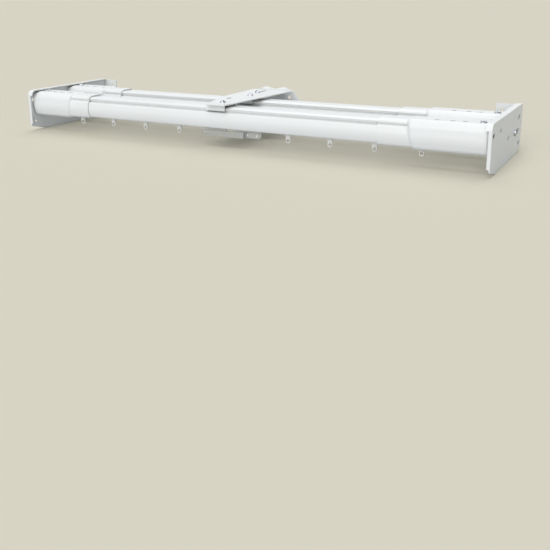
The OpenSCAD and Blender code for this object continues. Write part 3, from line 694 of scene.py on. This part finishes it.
def coverPlaces(s, side, length):  # where the rings of the loft stand, from the neck's open end
    neckEnd, edge = s["neckMm"][side] * mm, s["endEdgeMm"][side] * mm
    swell, slant = s["swellMm"] * mm, s["slantMm"] * mm
    stepFrom, stepTo = neckEnd - swell - slant, neckEnd + slant
    pitch, steps = s["ringMm"] * mm, s["stepRings"]
    places = [0, pitch, 2 * pitch]
    places += [stepFrom + (stepTo - stepFrom) * k / steps for k in range(steps + 1)]
    while length - edge - places[-1] > pitch + s["ringSpareMm"] * mm:
        places.append(places[-1] + pitch)
    return places + [length - edge * (1 - math.sin(math.radians(a))) for a in s["edgeTurns"]]


def loftCover(node, side, s, angles, reach, rodMid):
    low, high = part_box(node)
    way, startX = (1, low.x) if side == "right" else (-1, high.x)
    neckEnd, edge = s["neckMm"][side] * mm, s["endEdgeMm"][side] * mm
    swell, slant = s["swellMm"] * mm, s["slantMm"] * mm
    spare = (s["wallMm"] - s["endWallMm"]) * mm
    length, boxHalf = high.x - low.x, (high.z - low.z) / 2
    bm = bmesh.new()
    rings = {"": [], "Inside": []}
    for x in coverPlaces(s, side, length):
        past = max(x - (length - edge), 0.0)
        for layer in rings:
            ring = []
            tuck = edge - math.sqrt(max(edge * edge - past * past, 0.0))
            if layer:
                tuck = max(tuck - spare, 0.0)
            for a, r0, r1 in zip(angles, reach["neck" + layer], reach["box" + layer]):
                up = min(max(r1 * math.sin(a) / boxHalf, -1.0), 1.0)
                r = r0 + (r1 - r0) * smoothStep(1 + (x - neckEnd + slant * up) / swell) - tuck
                spot = (startX + way * x, rodMid.y + r * math.cos(a), rodMid.z + r * math.sin(a))
                ring.append(bm.verts.new(spot))
            rings[layer].append(ring)
    n = len(angles)
    for layer in rings.values():
        for one, two in zip(layer, layer[1:]):
            for i in range(n):
                bm.faces.new((one[i], one[(i + 1) % n], two[(i + 1) % n], two[i]))
    for outer, inner in ((rings[""][0], rings["Inside"][0]), (rings[""][-1], rings["Inside"][-1])):
        for i in range(n):
            bm.faces.new((outer[i], outer[(i + 1) % n], inner[(i + 1) % n], inner[i]))
    return newPiece(node + "_shell", bm, [rolledEnamel], node)


def cutAway(piece, cutters, material=None):  # takes the cutters out of the piece for good
    for cutter in cutters:
        bmesh.ops.recalc_face_normals(cutter, faces=cutter.faces)
        mesh = bpy.data.meshes.new("cutter")
        cutter.to_mesh(mesh)
        cutter.free()
        if material:
            mesh.materials.append(material)
        tool = bpy.data.objects.new("cutter", mesh)
        scene.collection.objects.link(tool)
        change = piece.modifiers.new("cut", "BOOLEAN")
        change.operation = "DIFFERENCE"
        change.solver = "EXACT"
        change.material_mode = "TRANSFER"
        change.object = tool
        view = bpy.context.evaluated_depsgraph_get()
        done = bpy.data.meshes.new_from_object(piece.evaluated_get(view))
        piece.modifiers.clear()
        old = piece.data
        piece.data = done
        bpy.data.meshes.remove(old)
        bpy.data.objects.remove(tool)
        bpy.data.meshes.remove(mesh)


def drum(x, y, z0, z1, width, sides=40):
    bm = bmesh.new()
    bmesh.ops.create_cone(
        bm, cap_ends=True, segments=sides, radius1=width / 2, radius2=width / 2, depth=z1 - z0,
        matrix=Matrix.Translation((x, y, (z0 + z1) / 2)),
    )
    return bm


def brick(low, high):
    bm = bmesh.new()
    stand = Matrix.LocRotScale((low + high) / 2, None, high - low)
    bmesh.ops.create_cube(bm, size=1.0, matrix=stand)
    return bm


def coverCutters(rod, side, s, rodMid):  # the floor's slot, the roof's holes and the cord outlets
    y, midZ = rodMid.y, rodMid.z
    roofZ, floorZ = midZ + s["cutUpMm"] * mm, midZ - s["cutDownMm"] * mm
    low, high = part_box(f"{rod}_{side}_cover")
    way, startX = (1, low.x) if side == "right" else (-1, high.x)
    trackEnd = outerX(*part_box(side + "_side_plate"))
    slotEnd = trackEnd - way * s["slotFromEndMm"] * mm
    x0, x1 = sorted((startX - way * s["cutPastMm"] * mm, slotEnd))
    half = s["slotMm"] / 2 * mm
    cutters = [brick(Vector((x0, y - half, floorZ)), Vector((x1, y + half, midZ)))]
    for inwards in s["holesFromEndMm"]:
        x, holeY = trackEnd - way * inwards * mm, y - s["holeForwardMm"] * mm
        cutters.append(drum(x, holeY, midZ, roofZ, s["holeMm"] * mm))
    screwX = boxOf(side + "_rod_screws")[2].x
    cutters.append(drum(screwX, y, midZ, roofZ, s["screwHoleMm"] * mm))
    if side == "right":
        for pulley, radiusMm in s["pulleyMm"].items():
            x = boxOf(f"{rod}_{pulley}_pulley")[2].x + radiusMm * mm
            cutters.append(drum(x, y, floorZ, midZ, s["outletMm"] * mm))
    return cutters


coverAngles, coverReach = coverTables(coverSet)
for rod in ("front", "back"):
    rodMid = boxOf(rod + "_outer_rod")[2]
    for side in ("left", "right"):
        node = f"{rod}_{side}_cover"
        piece = loftCover(node, side, coverSet, coverAngles, coverReach, rodMid)
        cutAway(piece, coverCutters(rod, side, coverSet, rodMid))
        roundEdges(piece, coverSet["edgeMm"])
        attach(piece, bodyOf[node])
print("covers lofted with", len(coverAngles), "points to a ring")

# Screws and nuts: rolled threads, domed heads with a slot and a cross, chamfered hexagons

screwSet = {
    "headMm": 8.2,
    "headHighMm": 2.8,
    "rimMm": 0.8,
    "domeRings": 9,
    "rodLongMm": 6.0,  # lengths under the head
    "clipLongMm": 3.2,
    "adjustLongMm": 5.9,
    "shankMm": 3.8,
    "filletMm": 0.15,  # under the head
    "pitchMm": 0.7,
    "threadMm": 0.22,
    "threadRings": 6,  # for each pitch
    "threadFromMm": 0.3,
    "runInRings": 4,  # the thread deepens over these
    "tipMm": 0.5,
    "tipInMm": 0.25,
    "slotWideMm": 2.0,  # right across the head
    "slotDeepMm": 1.9,
    "recessMm": 4.6,
    "recessWideMm": 1.4,
    "recessDeepMm": 2.2,
    "nutMm": 8.0,  # over the corners
    "nutHighMm": 2.4,
    "nutDropMm": 3.5,  # from the head's underside to the nut
    "nutChamferMm": 0.35,
    "boreSpareMm": 0.05,
    "boreChamferMm": 0.3,
    "sides": 40,
    "nutSides": 48,
    "sharpAngle": 40,
}


def lathe(bm, rings, sides):  # rings of (radius of an angle, height)
    rows = []
    for radius, z in rings:
        row = []
        for i in range(sides):
            a = 2 * math.pi * i / sides
            r = radius(a) if callable(radius) else radius
            row.append(bm.verts.new((r * math.cos(a), r * math.sin(a), z)))
        rows.append(row)
    for one, two in zip(rows, rows[1:]):
        for i in range(sides):
            bm.faces.new((one[i], one[(i + 1) % sides], two[(i + 1) % sides], two[i]))
    return rows


def screwBody(s, lengthMm):
    head, high, rim = s["headMm"] / 2, s["headHighMm"], s["rimMm"]
    shank, depth, pitch, fillet = s["shankMm"] / 2, s["threadMm"], s["pitchMm"], s["filletMm"]
    bm = bmesh.new()
    rings = [(0.05 * mm, high * mm)]  # a speck of flat on top
    for k in range(1, s["domeRings"] + 1):
        a = math.pi / 2 * (1 - k / s["domeRings"])
        rings.append((head * math.cos(a) * mm, (rim + (high - rim) * math.sin(a)) * mm))
    rings += [(head * mm, 0.08 * mm), ((head - 0.1) * mm, 0.0)]  # the broken edge of the underside
    rings += [((shank + fillet) * mm, 0.0), (shank * mm, -fillet * mm)]
    steps = max(int((lengthMm - s["tipMm"]) / (pitch / s["threadRings"])), 2)
    threaded = lengthMm - s["threadFromMm"] - s["tipMm"]
    for k in range(steps + 1):  # the thread winds once for each pitch
        z = -s["threadFromMm"] - threaded * k / steps
        ease = min(k / s["runInRings"], 1.0)

        def radius(a, z=z, ease=ease):
            turn = (z / pitch - a / (2 * math.pi)) % 1.0
            return (shank - depth * ease * (1 - abs(2 * turn - 1))) * mm

        rings.append((radius, z * mm))
    rings.append(((shank - depth - s["tipInMm"]) * mm, -lengthMm * mm))
    rows = lathe(bm, rings, s["sides"])
    bm.faces.new(rows[0])
    bm.faces.new(rows[-1])
    return bm


def driveCutters(s):  # a slot right across, and a cross that narrows towards its bottom
    past = 0.4  # mm above the head
    slot = (0, s["headMm"] + 1, s["slotWideMm"], s["slotDeepMm"], 1.0)
    wings = [(turn, s["recessMm"], s["recessWideMm"], s["recessDeepMm"], 0.5) for turn in (0, 90)]
    cutters = []
    for turn, length, width, depth, narrow in (slot, *wings):
        bm = bmesh.new()
        bmesh.ops.create_cube(bm, size=1.0)
        for v in bm.verts:
            lower = v.co.z < 0
            v.co.x *= length * (narrow if lower else 1.0) * mm
            v.co.y *= width * (narrow if lower else 1.0) * mm
            v.co.z = (s["headHighMm"] - depth if lower else s["headHighMm"] + past) * mm
        bm.transform(Matrix.Rotation(math.radians(turn), 4, "Z"))
        cutters.append(bm)
    return cutters


def hexNut(s):
    flat = s["nutMm"] / 2 * math.cos(math.pi / 6)

    def hexRadius(a):
        return flat / math.cos((a % (math.pi / 3)) - math.pi / 6)

    high, sides, chamfer = s["nutHighMm"], s["nutSides"], s["nutChamferMm"]
    trimmed, full = flat * 1.01, s["nutMm"]  # the corners are turned off at both ends
    rings = []
    for z, cap in ((0, trimmed), (-chamfer, full), (-high + chamfer, full), (-high, trimmed)):
        rings.append((lambda a, cap=cap: min(hexRadius(a), cap) * mm, z * mm))
    bore, slope = s["shankMm"] / 2 + s["boreSpareMm"], s["boreChamferMm"]
    rings += [((bore + slope) * mm, -high * mm), (bore * mm, (-high + slope) * mm)]
    rings += [(bore * mm, -slope * mm), ((bore + slope) * mm, 0)]
    bm = bmesh.new()
    rows = lathe(bm, rings, sides)
    for i in range(sides):
        bm.faces.new((rows[-1][i], rows[-1][(i + 1) % sides], rows[0][(i + 1) % sides], rows[0][i]))
    return bm


def screwMesh(s, lengthMm):  # one screw with its recess cut, head up from z = 0
    bm = screwBody(s, lengthMm)
    bmesh.ops.recalc_face_normals(bm, faces=bm.faces)
    mesh = bpy.data.meshes.new("screw")
    bm.to_mesh(mesh)
    bm.free()
    mesh.materials.append(zinc)
    piece = bpy.data.objects.new("screw", mesh)
    scene.collection.objects.link(piece)
    # the faces of the cut recess take the near-black painted shade
    cutAway(piece, driveCutters(s), recessShade)
    mesh = piece.data
    bpy.data.objects.remove(piece)
    return mesh


def placeScrews(node, s, lengthMm, stands, nuts=False):
    one = screwMesh(s, lengthMm)
    bm = bmesh.new()
    for stand in stands:
        seat = one.copy()
        seat.transform(stand)
        bm.from_mesh(seat)
        bpy.data.meshes.remove(seat)
        if nuts:
            nut = hexNut(s)
            nut.transform(stand @ Matrix.Translation((0, 0, -s["nutDropMm"] * mm)))
            mesh = bpy.data.meshes.new("nut")
            nut.to_mesh(mesh)
            nut.free()
            bm.from_mesh(mesh)
            bpy.data.meshes.remove(mesh)
    bpy.data.meshes.remove(one)
    piece = newPiece(node + "_threaded", bm, [zinc, recessShade], node)
    piece.data.shade_smooth()
    piece.data.set_sharp_from_angle(angle=math.radians(s["sharpAngle"]))
    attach(piece, bodyOf[node])


def standAt(x, y, z, turn, tip=None):  # the head points along +Z, or is tipped to the side
    stand = Matrix.Translation((x, y, z))
    if tip is not None:
        stand = stand @ Matrix.Rotation(math.radians(tip), 4, "Y")
    return stand @ Matrix.Rotation(math.radians(turn), 4, "Z")


screwTurns = {  # how far each head is turned, front and back, in degrees
    "left_rod_screws": (-52, 24),
    "right_rod_screws": (-78, -79),
    "support_screws": (-34, 12),
}
endAdjustTurn, centreAdjustTurn = 15, 52
headHalf, headHigh = screwSet["headMm"] / 2 * mm, screwSet["headHighMm"] * mm
for node, turns in screwTurns.items():
    low, high, mid = boxOf(node)
    ys = (low.y + headHalf, high.y - headHalf)
    stands = [standAt(mid.x, y, high.z - headHigh, turn) for y, turn in zip(ys, turns)]
    lengthMm = screwSet["clipLongMm" if node == "support_screws" else "rodLongMm"]
    placeScrews(node, screwSet, lengthMm, stands)
for side, tip in (("left", -90), ("right", 90)):
    low, high, mid = boxOf(side + "_adjust_screw")
    headX = high.x - headHigh if side == "right" else low.x + headHigh
    stand = standAt(headX, mid.y, mid.z, endAdjustTurn, tip)
    placeScrews(side + "_adjust_screw", screwSet, screwSet["adjustLongMm"], [stand], nuts=True)
low, high, mid = boxOf("centre_adjust_screw")
stand = standAt(mid.x, mid.y, high.z - headHigh, centreAdjustTurn)
placeScrews("centre_adjust_screw", screwSet, screwSet["adjustLongMm"], [stand], nuts=True)
print("screws threaded")

# Draw cords: braided, on the route round the pulleys

cordSet = {
    "thickMm": 2.0,
    "ringMm": 0.6,
    "sides": 12,
    "strands": 4,  # each way round
    "layMm": 10,  # one turn of a strand
    "reliefMm": 0.14,
    "wheelMm": 5.0,  # radius of the path round the large and the small pulleys
    "smallWheelMm": 3.5,
    "wheelSteps": 14,  # to a quarter turn
    "smallWheelSteps": 12,
}


def arcPoints(x, z, r, first, last, steps):
    turns = [math.radians(first + (last - first) * k / steps) for k in range(steps + 1)]
    return [Vector((x + r * math.cos(a), z + r * math.sin(a))) for a in turns]


def cordRoute(rod, s):  # points in X and Z, from one outlet to the other
    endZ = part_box(rod + "_draw_cord")[0].z
    upper, lower, back = (boxOf(f"{rod}_{name}_pulley")[2] for name in ("upper", "lower", "return"))
    large, small = s["wheelMm"] * mm, s["smallWheelMm"] * mm
    corners = [Vector((upper.x + large, endZ))]
    corners += arcPoints(upper.x, upper.z, large, 0, 90, s["wheelSteps"])
    corners += arcPoints(back.x, back.z, large, 90, 270, 2 * s["wheelSteps"])
    corners += arcPoints(lower.x, lower.z, small, 90, 0, s["smallWheelSteps"])
    corners.append(Vector((lower.x + small, endZ)))
    points = [corners[0]]
    for a, b in zip(corners, corners[1:]):
        steps = max(1, round((b - a).length / (s["ringMm"] * mm)))
        points += [a + (b - a) * k / steps for k in range(1, steps + 1)]
    return points, back.x, lower.x, upper.y


def braidedCord(rod, s):
    node = rod + "_draw_cord"
    points, backX, lowerX, y = cordRoute(rod, s)
    bm = bmesh.new()
    height = bm.verts.layers.float.new("strandHeight")
    rows, gone = [], 0.0
    for i, p in enumerate(points):
        a, b = points[max(i - 1, 0)], points[min(i + 1, len(points) - 1)]
        along = (b - a).normalized()
        out = Vector((-along.y, along.x))
        gone += (p - points[i - 1]).length / mm if i else 0.0
        wind = 2 * math.pi * gone * s["strands"] / s["layMm"]
        row = []
        for k in range(s["sides"]):
            turn = 2 * math.pi * k / s["sides"]
            lay = s["strands"] / 2 * turn
            rise = (max(math.cos(lay + wind), math.cos(lay - wind)) + 1) / 2
            r = (s["thickMm"] / 2 - s["reliefMm"] * (1 - rise)) * mm
            spot = p + out * r * math.cos(turn)
            v = bm.verts.new((spot.x, y + r * math.sin(turn), spot.y))
            v[height] = rise
            row.append(v)
        rows.append(row)
    n = s["sides"]
    for one, two in zip(rows, rows[1:]):
        for k in range(n):
            bm.faces.new((one[k], one[(k + 1) % n], two[(k + 1) % n], two[k]))
    bm.faces.new(rows[0])
    bm.faces.new(rows[-1])
    piece = newPiece(node + "_braid", bm, [braid], node)
    piece.data.shade_smooth()
    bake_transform(piece)
    print(node, "is", round(gone / 1000, 3), "m long")


for rod in ("front", "back"):
    braidedCord(rod, cordSet)

# Floor and light

stageSet = {
    "floor": "#DFDAC8",  # what the camera sees
    "bounce": "#B8BABB",  # what lights the object from below
    "floorSize": 60.0,  # metres
    "suns": {  # wide soft lamps far away: where they stand, spread in degrees, strength
        "key_sun": ((-0.02, -0.45, 0.89), 30, 0.68),
        "fill_sun": ((0.06, -0.93, 0.3), 50, 1.5),
        "back_sun": ((-0.1, 0.5, 0.86), 50, 0.7),
    },
    "sky": "#F0F4FA",
    "skyStrength": 0.45,
    "far": "#D6D3C4",  # beyond the floor's edge
    "shine": "#F6F8FA",  # what gloss and metal mirror
}


def makeFloor(s):
    half = s["floorSize"] / 2
    mesh = bpy.data.meshes.new("floor")
    corners = [(-half, -half, 0), (half, -half, 0), (half, half, 0), (-half, half, 0)]
    mesh.from_pydata(corners, [], [(0, 1, 2, 3)])
    floor = bpy.data.objects.new("floor", mesh)
    floor.location.z = cadLow.z
    scene.collection.objects.link(floor)
    material, tree = newMaterial("matt_paper")  # matt paper: an even pale tone with no gloss
    ray = addNode(tree, "ShaderNodeLightPath").outputs["Is Diffuse Ray"]
    tint = addNode(
        tree, "ShaderNodeMix",
        {"data_type": "RGBA", 6: colour(s["floor"]), 7: colour(s["bounce"])},
        {0: ray},
    )
    shader = addNode(tree, "ShaderNodeBsdfDiffuse", None, {"Color": tint.outputs[2]})
    addNode(tree, "ShaderNodeOutputMaterial", None, {"Surface": shader.outputs[0]})
    mesh.materials.append(material)


def makeSun(name, stand, spread, strength):
    data = bpy.data.lights.new(name, "SUN")
    data.energy = strength
    data.angle = math.radians(spread)
    lamp = bpy.data.objects.new(name, data)
    lamp.rotation_euler = Vector(stand).to_track_quat("Z", "Y").to_euler()
    scene.collection.objects.link(lamp)


def makeSky(s):
    world = bpy.data.worlds.new("soft_sky")
    world.use_nodes = True
    tree = world.node_tree
    tree.nodes.clear()
    ray = addNode(tree, "ShaderNodeLightPath").outputs
    seen = addNode(
        tree, "ShaderNodeMath", {"operation": "MAXIMUM"},
        {0: ray["Is Camera Ray"], 1: ray["Is Glossy Ray"]},
    )
    tint = addNode(
        tree, "ShaderNodeMix",
        {"data_type": "RGBA", 6: colour(s["far"]), 7: colour(s["shine"])},
        {0: ray["Is Glossy Ray"]},
    )
    sky = addNode(
        tree, "ShaderNodeBackground",
        {"Color": colour(s["sky"]), "Strength": s["skyStrength"]},
    )
    far = addNode(tree, "ShaderNodeBackground", {"Strength": 1.0}, {"Color": tint.outputs[2]})
    both = addNode(
        tree, "ShaderNodeMixShader", None,
        {0: seen.outputs[0], 1: sky.outputs[0], 2: far.outputs[0]},
    )
    addNode(tree, "ShaderNodeOutputWorld", None, {"Surface": both.outputs[0]})
    scene.world = world


makeFloor(stageSet)
for sunName, sun in stageSet["suns"].items():
    makeSun(sunName, *sun)
makeSky(stageSet)
scene.view_settings.view_transform = "Standard"
print("stage lit")
